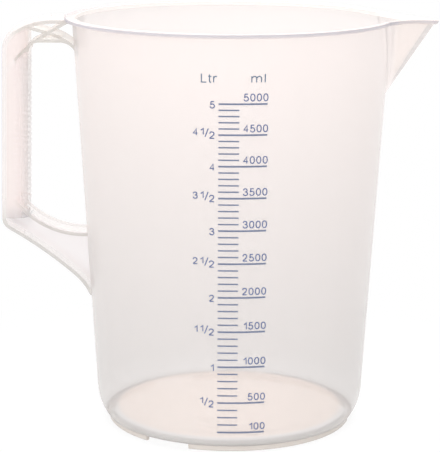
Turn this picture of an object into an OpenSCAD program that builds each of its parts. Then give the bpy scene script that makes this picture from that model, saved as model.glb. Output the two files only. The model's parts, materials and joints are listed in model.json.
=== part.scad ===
// Five litre measuring jug: a thin tapered body with a beak spout, and a hollow handle on a ribbed arm.
// The origin is on the body's axis at the table. The spout points along +X, the handle along -X,
// and the printed scale faces -Y.

/* [Body] */
// Height from the table to the top of the rim
body_h = 256; // [235:1:275]
// Outer diameter of the wall at the top
top_d = 197; // [186:1:205]
// Outer diameter that the taper of the wall reaches at the table
bottom_d = 166; // [162:1:170]
// Thickness of the moulded walls
wall_t = 2; // [1.6:0.1:2.6]

/* [Base] */
// Height of the inner floor above the table
floor_z = 9; // [7.5:0.5:12]
// Thickness of the floor
floor_t = 2.2; // [1.6:0.1:3]
// Diameter of the flat part of the inner floor
floor_d = 149; // [140:1:151]
// Diameter of the lower edge of the base
base_d = 155.5; // [154.5:0.5:158]
// Height at which the rounded corner runs into the taper
corner_z = 21; // [18:0.5:28]

/* [Foot] */
// Outer diameter of the foot ring
foot_d = 153.5; // [148:0.5:153.5]
// Height of the foot ring
foot_h = 3.5; // [2:0.5:4]
// Thickness of the foot ring
foot_t = 2.4; // [1.6:0.1:3]
// Number of drain notches through the foot ring
notch_n = 3; // [3:1:6]
// Width of a drain notch
notch_w = 30; // [12:1:34]

/* [Rim] */
// Height of the lip round the rim
lip_h = 2.4; // [1.6:0.1:4]
// How far the lip stands out from the wall
lip_t = 1.6; // [1:0.1:2.4]
// How much further the lip reaches out at the handle
lip_ear = 2.9; // [1:0.1:4]

/* [Spout] */
// How far the tip of the spout stands out from the wall at the rim
spout_out = 28; // [22:0.5:38]
// Width of the spout where it leaves the wall at the rim
spout_w = 84; // [66:1:96]
// Height of the rim above the foot of the spout's keel
spout_drop = 48; // [40:1:60]
// How far the tip lies below the rim
spout_dip = 2; // [0:0.5:4]
// Width of the rounded nose of the spout
nose_w = 18; // [10:1:20]
// Width of the rounded keel
keel_w = 9; // [7:0.5:12]

/* [Handle] */
// How far the back of the grip stands out from the wall at the rim
handle_out = 43.8; // [38.5:0.1:51.5]
// Width of the handle
handle_w = 26; // [21:1:32]
// Thickness of the outer strap at its edges
strap_t = 2.2; // [1.6:0.1:3]
// Height of the crown across the outer strap
strap_crown = 1.8; // [0.8:0.1:2.6]
// Radius of the long bend over the thumb
shoulder_r = 45; // [40:1:48]
// Radius of the bend from the thumb to the back of the grip
knuckle_r = 16; // [13:1:19]
// Depth of the grip, from its back to the finger side
grip_depth = 17.8; // [17:0.1:21]
// Rounding of the finger side of the grip
grip_round = 9; // [6:0.5:10]
// Length of the straight back of the grip
grip_len = 104; // [92:1:112]
// Outward lean of the grip towards its foot, in degrees
grip_lean = 1; // [0:0.25:2]
// Radius of the bend from the grip into the lower arm
heel_r = 8; // [6:0.5:11]
// Radius of the long hollow curve of the lower arm
arm_r = 260; // [220:5:320]
// Radius of the curve that brings the lower arm into the wall
root_r = 40; // [32:1:60]
// Thickness of the ribs, flanges and walls inside the handle
rib_t = 2; // [1.6:0.1:2.6]
// Clear height of the window between the thumb strap and the finger arch
window_h = 9.6; // [8:0.1:11.5]
// Radius at the corners of the finger arch
arch_r = 6; // [4:0.5:8]
// Radius of the curve that brings the finger arch into the wall
arch_root_r = 10; // [8:0.5:13]
// Radius of the upper flange of the lower arm
flange_r = 52; // [44:1:58]
// Drop from the heel to the upper flange at the wall
flange_drop = 9.2; // [6:0.1:12]
// Length of flange that runs on inside the grip
flange_in = 7; // [4:0.5:10]

/* [Grip ribs] */
// Number of thumb bars across the top of the handle
bar_n = 7; // [3:1:8]
// Distance from one thumb bar to the next
bar_pitch = 2.6; // [2.2:0.1:3]
// Width of a thumb bar
bar_w = 1.3; // [0.9:0.1:1.8]
// Height of a thumb bar
bar_h = 0.6; // [0.4:0.1:1.2]
// Distance from one finger ridge to the next
ridge_pitch = 3.3; // [2.8:0.1:5]
// Width of a finger ridge
ridge_w = 1.4; // [0.9:0.1:2]
// Height of a finger ridge over the grip
ridge_h = 0.5; // [0.3:0.1:0.9]

/* [Scale] */
// Volume at the top line, in millilitres
scale_ml = 5000; // [3000:500:5000]
// Volume between two lines, in millilitres
step_ml = 100; // [100:100:500]
// Distance from the middle of the jug to the left end of the lines
mark_left = 7; // [4:0.5:12]
// Length of a short line along the wall
short_l = 12; // [8:0.5:16]
// Length of a long line along the wall
long_l = 28.3; // [20:0.1:36]
// Width of a short line
short_w = 0.8; // [0.5:0.1:1.2]
// Width of a long line
long_w = 1; // [0.6:0.1:1.6]
// Thickness of the printed ink
ink_t = 0.2; // [0.1:0.05:0.3]

/* [Hidden] */
$fn = 96;

plastic = [0.93, 0.91, 0.89];
ink = [0.16, 0.27, 0.62];
full_turn = 360;
right_angle = 90;

// Overrun of every cutting solid past the face that it cuts
over = wall_t / 2;

// Outer radius of the wall at height z, and the taper as a slope
taper = (top_d - bottom_d) / 2 / body_h;
function wall_r(z) = bottom_d / 2 + taper * z;

// A solid cone of the wall's outer surface, which trims whatever grows out of the wall
module wall_core() {
    translate([0, 0, -over])
        cylinder(h = body_h + 2 * over, r1 = wall_r(-over), r2 = wall_r(body_h + over));
}

// Rounded corner of the base, as an arc that leaves the taper at p and ends at q
taper_normal = [-1, taper] / norm([1, taper]);
corner_steps = 14;
function corner_radius(p, q) = (q - p) * (q - p) / 2 / (taper_normal * (q - p));
function bearing(v) = atan2(v[1], v[0]);
function corner_arc(p, q) =
    let (r = corner_radius(p, q), c = p + r * taper_normal, a = bearing(p - c), b = bearing(q - c))
    [for (i = [0 : corner_steps]) let (t = a + (b - a) * i / corner_steps) c + r * [cos(t), sin(t)]];
outer_corner = corner_arc([wall_r(corner_z), corner_z], [base_d / 2, foot_h]);
inner_corner = corner_arc([wall_r(corner_z) - wall_t, corner_z], [floor_d / 2, floor_z]);
foot_ir = foot_d / 2 - foot_t;

// Spout: a beak whose level sections run from the wall to the tip
spout_reach = wall_r(body_h) + spout_out;
beak_rings = 10;
beak_steps = 9;
keel_z = body_h - spout_drop;
keel_root = wall_r(keel_z);
keel_slope = (spout_reach - keel_root) / spout_drop;
beak_back = keel_root / 2;
function beak_z(t) = keel_z + t * spout_drop;
function beak_half(t, grow) = (keel_w + (spout_w - keel_w) * t) / 2 + (grow < 0 ? grow / 2 : grow);
function beak_nose(t, grow) = (keel_w + (nose_w - keel_w) * t) / 2 + grow;
function beak_tip(t, grow) = keel_root + (spout_reach - keel_root) * t + grow * norm([1, keel_slope]);
function beak_root(t, grow) =
    let (r = wall_r(beak_z(t)) - wall_t / 2 + min(grow, 0), w = beak_half(t, grow)) sqrt(r * r - w * w);

// A point on one side of a section, from mid-wall at u = 1 to the tip at u = 0
function beak_point(t, grow, u, side) =
    let (
        root = beak_root(t, grow),
        tip = beak_tip(t, grow),
        nose = beak_nose(t, grow),
        y = (beak_half(t, grow) - nose) * pow(u, 4) + nose * u,
        out = 1 - u * u
    )
    [root + (tip - root) * out, side * y, beak_z(t) - spout_dip * t * out * out];
function beak_section(t, grow) = concat(
    [[beak_back, -beak_half(t, grow), beak_z(t)]],
    [for (i = [0 : beak_steps]) beak_point(t, grow, 1 - i / beak_steps, -1)],
    [for (i = [beak_steps - 1 : -1 : 0]) beak_point(t, grow, 1 - i / beak_steps, 1)],
    [[beak_back, beak_half(t, grow), beak_z(t)]]
);

// Faces of a solid whose sections each have n points, the same number in every section
function skin_sides(rings, n) = [
    for (k = [0 : rings - 2], i = [0 : n - 1])
        let (a = k * n + i, b = k * n + (i + 1) % n)
        each [[a, a + n, b + n], [a, b + n, b]]
];

// Caps of a section that is mirrored about its middle point, as strips from one side to the other
function mirror_cap(first, n, up) =
    let (half = (n - 1) / 2)
    [for (i = [0 : half - 1])
        let (a = first + i, b = a + 1, c = first + n - 1 - i, d = c - 1)
        each concat(
            [up ? [a, c, d] : [a, d, c]],
            b == d ? [] : [up ? [a, d, b] : [a, b, d]]
        )
    ];

// The beak between two shares of its height, with every side moved out by grow
module beak(grow, from, to, rings) {
    n = 2 * beak_steps + 3;
    sections = [for (k = [0 : rings]) beak_section(from + (to - from) * k / rings, grow)];
    polyhedron(
        points = [for (s = sections) each s],
        faces = concat(
            skin_sides(rings + 1, n), mirror_cap(0, n, false), mirror_cap(rings * n, n, true)
        )
    );
}
above_rim = 1 + over / spout_drop;
below_foot = -over / (spout_reach - keel_root);
lip_share = lip_h / spout_drop;
module beak_mouth() { beak(-wall_t, 0, above_rim, beak_rings); }

// Paths in the plane of the handle. A state is a point and a heading, and a leg turns left with
// a positive angle and right with a negative one.
path_steps = 12;
function ahead(s, len) = [s[0] + len * [cos(s[1]), sin(s[1])], s[1]];
function swing(s, r, turn) =
    let (side = sign(turn), c = s[0] + side * r * [-sin(s[1]), cos(s[1])])
    [for (i = [1 : path_steps])
        let (h = s[1] + turn * i / path_steps) [c + side * r * [sin(h), -cos(h)], h]];
function last(list) = list[len(list) - 1];
function shifted(path, left) = [for (s = path) s[0] + left * [-sin(s[1]), cos(s[1])]];
function reversed(list) = [for (i = [len(list) - 1 : -1 : 0]) list[i]];
function ribbon(path, left) = concat(shifted(path, 0), reversed(shifted(path, left)));
function band(path, width) = concat(shifted(path, -width / 2), reversed(shifted(path, width / 2)));

// Extrudes a shape drawn in the plane of the handle, evenly to both sides of it
module across(width) {
    rotate([right_angle, 0, 0]) linear_extrude(width, center = true) children();
}

// Outer strap: the edge line of its outer face, from the rim over the thumb, down the back of the
// grip, round the heel and along the arm into the wall
handle_reach = wall_r(body_h) + handle_out;
shoulder_turn = 32;
arm_heading = 330;
arm_turn = 11;
root_turn = 24;
west = 180;
grip_heading = 270 - grip_lean;
edge_z = body_h - strap_crown;
shoulder_x = handle_reach - strap_crown - shoulder_r * sin(shoulder_turn)
    - knuckle_r * (cos(grip_lean) - sin(shoulder_turn));
strap_start = [[-(wall_r(edge_z) - wall_t), edge_z], west];
strap_bend = [[-shoulder_x, edge_z], west];
shoulder = swing(strap_bend, shoulder_r, shoulder_turn);
knuckle = swing(last(shoulder), knuckle_r, grip_heading - west - shoulder_turn);
grip_top = last(knuckle);
grip_end = ahead(grip_top, grip_len);
heel = swing(grip_end, heel_r, arm_heading - grip_heading);
arm = swing(last(heel), arm_r, -arm_turn);
arm_root = swing(last(arm), root_r, -root_turn);
strap_path = concat([strap_start, strap_bend], shoulder, knuckle, [grip_end], heel, arm, arm_root);

// Cross-section of the strap, flat inside and crowned outside, in [outward, across]
crown_steps = 8;
function crown_curve(height) = [
    for (i = [0 : crown_steps])
        let (u = 2 * i / crown_steps - 1) [height * (1 - u * u), u * handle_w / 2]
];
strap_section = concat(
    crown_curve(strap_crown), [[-strap_t, handle_w / 2], [-strap_t, -handle_w / 2]]
);
function strap_ring(s) =
    [for (p = strap_section) [s[0][0] + p[0] * sin(s[1]), p[1], s[0][1] - p[0] * cos(s[1])]];

// Everything inside the strap, down to the axis of the jug
handle_core = concat(
    shifted(strap_path, strap_t), [[0, last(strap_path)[0][1]], [0, edge_z - strap_t]]
);

// Frame of the grip: its origin is at the top of the straight back, with Z along the back
grip_front = grip_depth - strap_crown;
module grip_frame() {
    translate([grip_top[0][0], 0, grip_top[0][1]]) rotate([0, grip_lean, 0]) children();
}
function finger_x(z) =
    grip_top[0][0] + grip_front / cos(grip_lean) + (z - grip_top[0][1]) * tan(grip_lean);

// Outline of the grip from above, with its flat back inside the strap
module grip_shape(grow) {
    half = handle_w / 2 + grow;
    middle = handle_w / 2 - grip_round;
    front = grip_front - grip_round;
    translate([0, -half]) square([front, 2 * half]);
    translate([0, -middle]) square([grip_front + grow, 2 * middle]);
    for (side = [-1, 1]) translate([front, side * middle]) circle(grip_round + grow);
}

// Outline of the hollow inside the grip, which is open towards the strap
module grip_hollow() {
    inside = handle_w / 2 - rib_t;
    grip_shape(-rib_t);
    translate([-over, -inside]) square([2 * over, 2 * inside]);
}
grip_rise = edge_z - grip_top[0][1];

// Finger arch: its lower face, from the grip up and over the fingers into the wall
arch_z = edge_z - strap_t - window_h - rib_t;
arch_start_z = arch_z - arch_r * (1 - sin(grip_lean));
arch_root_turn = 64;
arch_root_share = 0.75;
arch_start = [[finger_x(arch_start_z), arch_start_z], right_angle - grip_lean];
arch_corner = swing(arch_start, arch_r, grip_lean - right_angle);
arch_end = [[-wall_r(arch_z) - arch_root_share * arch_root_r, arch_z], 0];
arch_root = swing(arch_end, arch_root_r, -arch_root_turn);
arch_path = concat([arch_start], arch_corner, [arch_end], arch_root, [ahead(last(arch_root), wall_t)]);

// Upper flange of the arm: its upper face, from inside the wall to inside the grip
flange_turn = 46;
flange_z = grip_end[0][1] - flange_drop;
flange_tail_share = 0.4;
flange_end_x = finger_x(grip_end[0][1]) - flange_tail_share * flange_in;
flange_bend = [[flange_end_x + flange_r * sin(flange_turn), flange_z], west];
flange_curve = swing(flange_bend, flange_r, -flange_turn);
flange_path = concat(
    [[[0, flange_z], west], flange_bend], flange_curve, [ahead(last(flange_curve), flange_in)]
);

// Everything under the lower face of the flange, as far out as the grip's back
flange_low = shifted(flange_path, rib_t);
under_flange = concat(flange_low, [[-handle_reach, last(flange_low)[1]], [-handle_reach, 0], [0, 0]]);

// Cross ribs: each runs straight on one side of the crossing and bends down on the other. The long
// one bends into the grip, the short one into the wall.
cross_x_share = 0.445;
cross_z_share = 0.4;
window_x = finger_x(arch_z);
cross_point = [
    window_x + cross_x_share * (-wall_r(arch_z) - window_x),
    arch_z + rib_t + cross_z_share * window_h
];
long_rib_heading = 210.5;
long_rib_turn = 30;
long_rib_r = 89;
short_rib_heading = -15;
short_rib_turn = -40;
short_rib_r = 38;
long_rib = cross_path(long_rib_heading, long_rib_r, long_rib_turn);
short_rib = cross_path(short_rib_heading, short_rib_r, short_rib_turn);
function cross_path(heading, r, turn) =
    concat([ahead([cross_point, heading], -2 * grip_depth), [cross_point, heading]],
        swing([cross_point, heading], r, turn));

// Thumb bars: how many lie before the shoulder bend starts, and how much shorter they are on top
bars_ahead = 2;
bar_inset_share = 0.12;

// Finger ridges run from the grip's floor to the arch
ridge_span = grip_len - (grip_top[0][1] - arch_start_z) - rib_t - flange_in;
ridge_n = floor(ridge_span / ridge_pitch);

// Volume below each level, in millilitres, added up slice by slice from the floor
slice_n = 220;
slice_h = (body_h - floor_z) / slice_n;
mm3_per_ml = 1000;
corner_table = [for (p = reversed(inner_corner)) [p[1], p[0]]];
function bore_r(z) = z < corner_z ? lookup(z, corner_table) : wall_r(z) - wall_t;
function slice_ml(z) = PI * pow(bore_r(z + slice_h / 2), 2) * slice_h / mm3_per_ml;
fill_table = [for (i = 0, v = 0; i <= slice_n; v = v + slice_ml(floor_z + i * slice_h), i = i + 1)
    [v, floor_z + i * slice_h]];
function fill_z(ml) = lookup(ml, fill_table);

// The scale ends at its top volume, or where the lip leaves no room for another line
level_table = [for (p = fill_table) [p[1], p[0]]];
room_ml = lookup(body_h - lip_h - long_w, level_table);
mark_n = floor(min(scale_ml, room_ml) / step_ml);
long_every_ml = 500;
scale_side = 270;
function is_long(i) = i == 1 || (i * step_ml) % long_every_ml == 0;

module wall() {
    color(plastic, 0.6) difference() {
        rotate_extrude() polygon([
            [wall_r(corner_z) - wall_t, corner_z], [wall_r(corner_z), corner_z],
            [wall_r(body_h), body_h], [wall_r(body_h) - wall_t, body_h]
        ]);
        beak_mouth();
    }
}

module base() {
    color(plastic, 0.6) rotate_extrude() polygon(concat(
        outer_corner,
        [[foot_ir, foot_h], [foot_ir, floor_z - floor_t], [0, floor_z - floor_t], [0, floor_z]],
        reversed(inner_corner)
    ));
}

module foot() {
    color(plastic, 0.6) difference() {
        rotate_extrude() translate([foot_ir, 0]) square([foot_t, foot_h]);
        for (i = [0 : notch_n - 1])
            rotate(i * full_turn / notch_n)
                translate([foot_ir / 2, -notch_w / 2, -over]) cube([foot_d / 2, notch_w, foot_h + 2 * over]);
    }
}

module lip_disc() { cylinder(h = lip_h, r = wall_r(body_h) + lip_t); }

module rim() {
    color(plastic, 0.7) difference() {
        translate([0, 0, body_h - lip_h]) union() {
            lip_disc();
            translate([-lip_ear, 0, 0]) lip_disc();
        }
        wall_core();
        beak(lip_t, 1 - 2 * lip_share, above_rim, 1);
    }
}

module spout() {
    color(plastic, 0.6) difference() {
        union() {
            beak(0, below_foot, 1 - lip_share / 2, beak_rings);
            beak(lip_t, 1 - lip_share, 1, 1);
        }
        beak_mouth();
        wall_core();
    }
}

module outer_strap() {
    n = len(strap_section);
    rings = len(strap_path);
    color(plastic, 0.7) difference() {
        polyhedron(
            points = [for (s = strap_path) each strap_ring(s)],
            faces = concat(
                skin_sides(rings, n),
                [[for (i = [0 : n - 1]) i]],
                [[for (i = [n - 1 : -1 : 0]) (rings - 1) * n + i]]
            )
        );
        wall_core();
        translate([-lip_ear, 0, body_h - lip_h]) lip_disc();
    }
}

module thumb_bars() {
    color(plastic, 0.7)
        for (i = [0 : bar_n - 1])
            let (s = swing_at((i - bars_ahead) * bar_pitch))
            translate([s[0][0], 0, s[0][1]]) rotate([0, west - s[1], 0])
                rotate([right_angle, 0, right_angle]) linear_extrude(bar_w, center = true) thumb_bar_shape();
}

// State on the strap's edge line at a distance past the start of the shoulder bend
function swing_at(d) = d <= 0 ? ahead(strap_bend, d)
    : let (turn = d / shoulder_r * west / PI, h = west + turn)
        [strap_bend[0] - [0, shoulder_r] + shoulder_r * [sin(h), -cos(h)], h];

module thumb_bar_shape() {
    low = [for (p = crown_curve(strap_crown)) [p[1], p[0]]];
    high = [for (p = low) [p[0] * (1 - bar_inset_share), p[1] + bar_h]];
    polygon(concat(low, reversed(high)));
}

module finger_arch() {
    color(plastic, 0.7) difference() {
        across(handle_w) polygon(ribbon(arch_path, rib_t));
        wall_core();
    }
}

// The walls of the grip, from its floor to above the strap
module grip_tube() {
    grip_frame() translate([0, 0, rib_t - grip_len]) linear_extrude(grip_len + grip_rise) difference() {
        grip_shape(0);
        grip_hollow();
    }
}

module grip() {
    color(plastic, 0.7) difference() {
        intersection() {
            grip_tube();
            across(2 * handle_w) polygon(handle_core);
        }
        across(2 * handle_w) polygon(ribbon(arch_path, rib_t));
        across(2 * handle_w) polygon(ribbon(flange_path, rib_t));
    }
}

module finger_ridges() {
    color(plastic, 0.7) grip_frame()
        for (i = [0 : ridge_n - 1])
            translate([0, 0, flange_in + rib_t - grip_len + (i + 0.5) * ridge_pitch])
                linear_extrude(ridge_w) intersection() {
                    difference() {
                        grip_shape(ridge_h);
                        grip_shape(0);
                    }
                    translate([grip_front - grip_round, -handle_w]) square([grip_depth, 2 * handle_w]);
                }
}

module grip_floor() {
    color(plastic, 0.7) intersection() {
        grip_frame() translate([0, 0, -grip_len]) linear_extrude(rib_t) grip_shape(0);
        across(2 * handle_w) polygon(handle_core);
        across(2 * handle_w) polygon(under_flange);
    }
}

module cross_ribs() {
    color(plastic, 0.7) difference() {
        across(handle_w) intersection() {
            union() {
                polygon(band(long_rib, rib_t));
                polygon(band(short_rib, rib_t));
            }
            polygon(handle_core);
        }
        wall_core();
        grip_tube();
        across(2 * handle_w) polygon(arch_underside);
    }
}

// Everything from the upper face of the finger arch downwards
arch_underside = concat(
    shifted(arch_path, rib_t), [[0, arch_start_z], [0, 0], [arch_start[0][0] - rib_t, 0]]
);

module arm_flange() {
    color(plastic, 0.7) difference() {
        across(handle_w) polygon(ribbon(flange_path, rib_t));
        wall_core();
    }
}

module arm_web() {
    color(plastic, 0.7) difference() {
        across(rib_t) intersection() {
            polygon(handle_core);
            polygon(under_flange);
            under_grip();
        }
        wall_core();
    }
}

// Everything below the underside of the grip's floor
module under_grip() {
    translate(grip_end[0]) rotate(-grip_lean)
        translate([-handle_reach, -handle_reach]) square([2 * handle_reach, handle_reach]);
}

// A printed line: a thin band on the wall between two places along it
module mark(z, length, width) {
    span = length / wall_r(z) * west / PI;
    start = scale_side - mark_left / wall_r(z) * west / PI;
    low = z - width / 2;
    high = z + width / 2;
    rotate(start) rotate_extrude(angle = span) polygon([
        [wall_r(low), low], [wall_r(low) + ink_t, low], [wall_r(high) + ink_t, high], [wall_r(high), high]
    ]);
}

module long_marks() {
    color(ink) for (i = [1 : mark_n]) if (is_long(i)) mark(fill_z(i * step_ml), long_l, long_w);
}

module short_marks() {
    color(ink) for (i = [1 : mark_n]) if (!is_long(i)) mark(fill_z(i * step_ml), short_l, short_w);
}

wall();
base();
foot();
rim();
spout();
outer_strap();
thumb_bars();
finger_arch();
grip();
finger_ridges();
grip_floor();
cross_ribs();
arm_flange();
arm_web();
long_marks();
short_marks();
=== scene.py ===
# %% [markdown]
# # A frosted measuring jug
# The real jug is one moulding in natural polypropylene, a milky plastic that lets light and
# soft shapes through, with a blue scale printed on its wall. The CAD model gives the exact form.
# This script dresses it: it draws the moulding again as clean meshes without inner faces,
# wraps the figures of the scale round the wall, and mixes the plastic and the ink.

# %% Load the packed jug
import json
import math

import bmesh
import bpy
import numpy as np
from mathutils import Matrix, Vector
from mathutils.bvhtree import BVHTree

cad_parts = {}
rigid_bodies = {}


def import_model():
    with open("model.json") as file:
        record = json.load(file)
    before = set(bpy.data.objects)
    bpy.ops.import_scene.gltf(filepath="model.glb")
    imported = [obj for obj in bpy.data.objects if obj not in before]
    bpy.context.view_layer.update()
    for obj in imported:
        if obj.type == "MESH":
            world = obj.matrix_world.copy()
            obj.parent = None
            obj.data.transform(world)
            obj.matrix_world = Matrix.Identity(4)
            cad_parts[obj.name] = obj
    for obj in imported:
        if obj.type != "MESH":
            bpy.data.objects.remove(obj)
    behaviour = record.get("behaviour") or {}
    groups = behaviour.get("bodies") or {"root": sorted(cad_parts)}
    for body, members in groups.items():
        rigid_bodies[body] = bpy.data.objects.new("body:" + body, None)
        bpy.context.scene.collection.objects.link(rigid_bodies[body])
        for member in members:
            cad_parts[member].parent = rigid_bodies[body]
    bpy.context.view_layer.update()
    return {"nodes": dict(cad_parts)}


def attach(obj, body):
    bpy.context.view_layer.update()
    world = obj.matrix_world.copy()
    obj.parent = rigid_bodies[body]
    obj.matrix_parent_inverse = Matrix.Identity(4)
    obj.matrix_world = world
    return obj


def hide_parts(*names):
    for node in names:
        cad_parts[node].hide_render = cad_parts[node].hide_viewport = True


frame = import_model()

# %% [markdown]
# ## The camera
# The fifty lines of the scale have known volumes, so their heights on the wall are known too.
# A camera model was fitted to them and to the outline of the jug. Its place and angles are
# written here in the jug's own frame, in metres and degrees.

# %% Set up the camera
PHOTO_SIZE = (440, 452)
FOCAL_PIXELS = 1948.3
SENSOR_WIDTH = 36
CLIP_START, CLIP_END = 0.05, 30
CAMERA_PLACE = Vector((0.00186, -1.2036, 0.3842))
PITCH, YAW, ROLL = (math.radians(angle) for angle in (12.232, -0.397, 0.297))


def photo_camera():
    """A camera that looks down at the jug as the photographer's did."""
    ahead = Vector((math.sin(YAW) * math.cos(PITCH), math.cos(YAW) * math.cos(PITCH), -math.sin(PITCH)))
    right = Vector((math.cos(YAW), -math.sin(YAW), 0))
    up = right.cross(ahead)
    side = math.cos(ROLL) * right + math.sin(ROLL) * up
    top = math.cos(ROLL) * up - math.sin(ROLL) * right
    lens = bpy.data.cameras.new("photo_camera")
    lens.sensor_width = SENSOR_WIDTH
    lens.lens = FOCAL_PIXELS * SENSOR_WIDTH / max(PHOTO_SIZE)
    lens.clip_start, lens.clip_end = CLIP_START, CLIP_END
    camera = bpy.data.objects.new("photo_camera", lens)
    camera.matrix_world = Matrix((side, top, -ahead)).transposed().to_4x4()
    camera.matrix_world.translation = CAMERA_PLACE
    bpy.context.scene.collection.objects.link(camera)
    return camera


bpy.context.scene.camera = photo_camera()
print("lens:", round(bpy.context.scene.camera.data.lens, 1), "mm")

# %% [markdown]
# ## Shader maths as Python
# A material in Blender is a graph of nodes, and arithmetic in it takes one Math node a sign.
# The class `Signal` wraps an output socket and gives it Python's operators, so that
# `1 - mask * 0.5` adds those nodes by itself.

# %% Wrap a socket
class Signal:
    """A value that varies over a surface."""

    def __init__(self, graph, socket):
        self.graph, self.socket = graph, socket

    def maths(self, operation, first, second=0.0):
        """Adds one Math node."""
        return self.graph.node("ShaderNodeMath", {"operation": operation}, {0: first, 1: second})

    def __add__(self, other):
        return self.maths("ADD", self, other)

    def __radd__(self, other):
        return self.maths("ADD", other, self)

    def __sub__(self, other):
        return self.maths("SUBTRACT", self, other)

    def __rsub__(self, other):
        return self.maths("SUBTRACT", other, self)

    def __mul__(self, other):
        return self.maths("MULTIPLY", self, other)

    def __rmul__(self, other):
        return self.maths("MULTIPLY", other, self)

    def __abs__(self):
        return self.maths("ABSOLUTE", self)

    def root(self):
        return self.maths("SQRT", self)

    def larger(self, other):
        return self.maths("MAXIMUM", self, other)


print("a signal knows:", [word.strip("_") for word, part in vars(Signal).items() if callable(part)])

# %% [markdown]
# ## One way to add a node
# Every other node is added by one method from its type, its settings and its sockets, so a
# graph reads as a few expressions. The graph can belong to a material or to the world. Both
# use the mask `seen`, which tells the rays that show a thing to the eye from those that
# only carry its light to other things.

# %% Build a graph of nodes
class Graph:
    """The nodes of a material or of the world."""

    def __init__(self, tree):
        self.tree = tree

    def connect(self, value, socket):
        """Links a signal to a socket, or sets the socket to a plain value."""
        if isinstance(value, Signal):
            self.tree.links.new(value.socket, socket)
        else:
            socket.default_value = value

    def node(self, kind, settings=None, sockets=None, output=0):
        """Adds any node: its settings first, then the values or links of its sockets."""
        new = self.tree.nodes.new(kind)
        for key, value in (settings or {}).items():
            setattr(new, key, value)
        for key, value in (sockets or {}).items():
            self.connect(value, new.inputs[key])
        return Signal(self, new.outputs[output])

    def seen(self):
        """1 for rays from the eye, straight, through plastic or by gloss, and 0 for soft light."""
        words = ("Is Camera Ray", "Is Transmission Ray", "Is Glossy Ray")
        straight, through, gloss = (self.node("ShaderNodeLightPath", output=word) for word in words)
        return straight.larger(through).larger(gloss)


print("node helper ready")

# %% [markdown]
# ## The recipe of a material
# The plastics, the ink and the paper need the same few tools: the place on the surface, soft
# masks along a measure, a mix of two colours and a cloudy noise. `Recipe` holds them beside
# the material's one Principled shader.

# %% Write the tools of a recipe
class Recipe(Graph):
    """A material with one Principled shader."""

    def __init__(self, name):
        self.material = bpy.data.materials.new(name)
        self.material.use_nodes = True
        super().__init__(self.material.node_tree)
        self.shader = self.tree.nodes["Principled BSDF"]

    def finish(self, **sockets):
        """Sets the shader's sockets. An underscore stands for a space."""
        for key, value in sockets.items():
            self.connect(value, self.shader.inputs[key.replace("_", " ")])
        return self.material

    def place(self):
        """The surface's place as a vector, and its X, Y and Z in metres."""
        spot = self.node("ShaderNodeTexCoord", output="Object")
        split = self.node("ShaderNodeSeparateXYZ", sockets={0: spot}).socket.node
        return spot, [Signal(self, split.outputs[i]) for i in range(3)]

    def mark(self, word):
        """A number that the mesh carries on its points."""
        return self.node("ShaderNodeAttribute", {"attribute_name": word}, output="Fac")

    def rise(self, value, low, high, way="SMOOTHSTEP"):
        """0 below low, 1 above high, and even between."""
        limits = {"Value": value, "From Min": low, "From Max": high}
        return self.node("ShaderNodeMapRange", {"interpolation_type": way}, limits)

    def fall(self, value, low, high):
        """1 below low and 0 above high."""
        return 1 - self.rise(value, low, high)

    def band(self, value, low, high, edge):
        """1 between low and high, and 0 outside, with soft edges."""
        return self.rise(value, low - edge, low) * self.fall(value, high, high + edge)

    def blend(self, amount, first, second):
        """Mixes two colours."""
        return self.node("ShaderNodeMix", {"data_type": "RGBA"}, {0: amount, 6: first, 7: second}, output=2)

    def noise(self, spot, scale, detail=2.0):
        """Soft clouds between 0 and 1."""
        return self.node("ShaderNodeTexNoise", {}, {"Vector": spot, "Scale": scale, "Detail": detail})


print("tools of a recipe:", [word for word in vars(Recipe) if not word.startswith("_")])

# %% [markdown]
# ## The body's sizes
# The drawing of the body uses the same sizes as the CAD source, in millimetres. The wall is
# a cone 2 mm thick. The spout is a beak: at each level its outline runs from the wall to the
# tip on one curve, wide where it leaves the wall and narrow at the nose.

# %% Describe the wall and the spout
MM = 0.001
BODY_H, TOP_R, BOTTOM_R, WALL = 256.0, 98.5, 83.0, 2.0
FLOOR_Z, FLOOR_T, FLOOR_R, BASE_R, CORNER_Z = 9.0, 2.2, 74.5, 77.75, 21.0
FOOT_R, FOOT_H, FOOT_T = 76.75, 3.5, 2.4
NOTCH_COUNT, NOTCH_W = 3, 30.0
LIP_H, LIP_T, LIP_EAR = 2.4, 1.6, 2.9
SPOUT_REACH, SPOUT_W, SPOUT_DROP, SPOUT_DIP, NOSE_W, KEEL_W = 126.5, 84.0, 48.0, 2.0, 18.0, 9.0
TAPER = (TOP_R - BOTTOM_R) / BODY_H
KEEL_Z = BODY_H - SPOUT_DROP


def wall_r(z):
    """Outer radius of the wall at a height."""
    return BOTTOM_R + TAPER * z


KEEL_ROOT = wall_r(KEEL_Z)
KEEL_STRETCH = math.hypot(1, (SPOUT_REACH - KEEL_ROOT) / SPOUT_DROP)
CURVE_POINTS = 500
FLARE = 4


def beak_curve(z, grow):
    """Half of the beak's outline at a height, from the tip to mid-wall, moved out by grow."""
    t = (z - KEEL_Z) / SPOUT_DROP
    half = (KEEL_W + (SPOUT_W - KEEL_W) * t) / 2 + (grow / 2 if grow < 0 else grow)
    nose = (KEEL_W + (NOSE_W - KEEL_W) * t) / 2 + grow
    tip = KEEL_ROOT + (SPOUT_REACH - KEEL_ROOT) * t + grow * KEEL_STRETCH
    root = math.sqrt((wall_r(z) - WALL / 2 + min(grow, 0)) ** 2 - half ** 2)
    u = np.linspace(0, 1, CURVE_POINTS)
    x = root + (tip - root) * (1 - u * u)
    y = (half - nose) * u ** FLARE + nose * u
    return u, np.arctan2(y, x), np.hypot(x, y)


print("keel starts at", KEEL_Z, "mm, radius", round(KEEL_ROOT, 1))

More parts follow.
